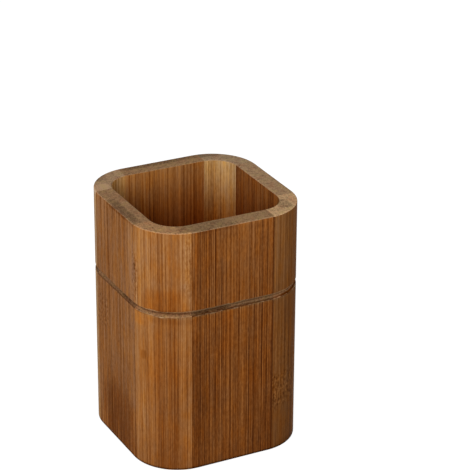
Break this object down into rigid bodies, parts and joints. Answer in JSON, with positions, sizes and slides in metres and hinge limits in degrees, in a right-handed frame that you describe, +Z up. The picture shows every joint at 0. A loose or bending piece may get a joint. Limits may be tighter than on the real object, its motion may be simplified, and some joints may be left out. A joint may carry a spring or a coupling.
{
  "type": "bathroom tumbler",
  "caption": "Square wooden tumbler with rounded corners and a shallow groove round it, glued up from upright bamboo staves, for standing toothbrushes in.",
  "frame": {"origin": "middle of the foot, on the surface that the tumbler stands on", "axes": "+Z up along the tumbler's middle line towards the rim; -Y out of the front panel; +X out of the right panel"},
  "size_m": [0.065, 0.065, 0.096],
  "materials": {
    "panel_bamboo": "oiled dark carbonised bamboo, satin",
    "post_bamboo": "oiled carbonised bamboo, satin",
    "base_bamboo": "oiled carbonised bamboo, satin"
  },
  "bodies": {
    "root": {"front_panel": "panel_bamboo", "right_panel": "panel_bamboo", "back_panel": "panel_bamboo", "left_panel": "panel_bamboo", "front_left_post": "post_bamboo", "front_right_post": "post_bamboo", "back_right_post": "post_bamboo", "back_left_post": "post_bamboo", "base_plate": "base_bamboo"}
  },
  "joints": []
}
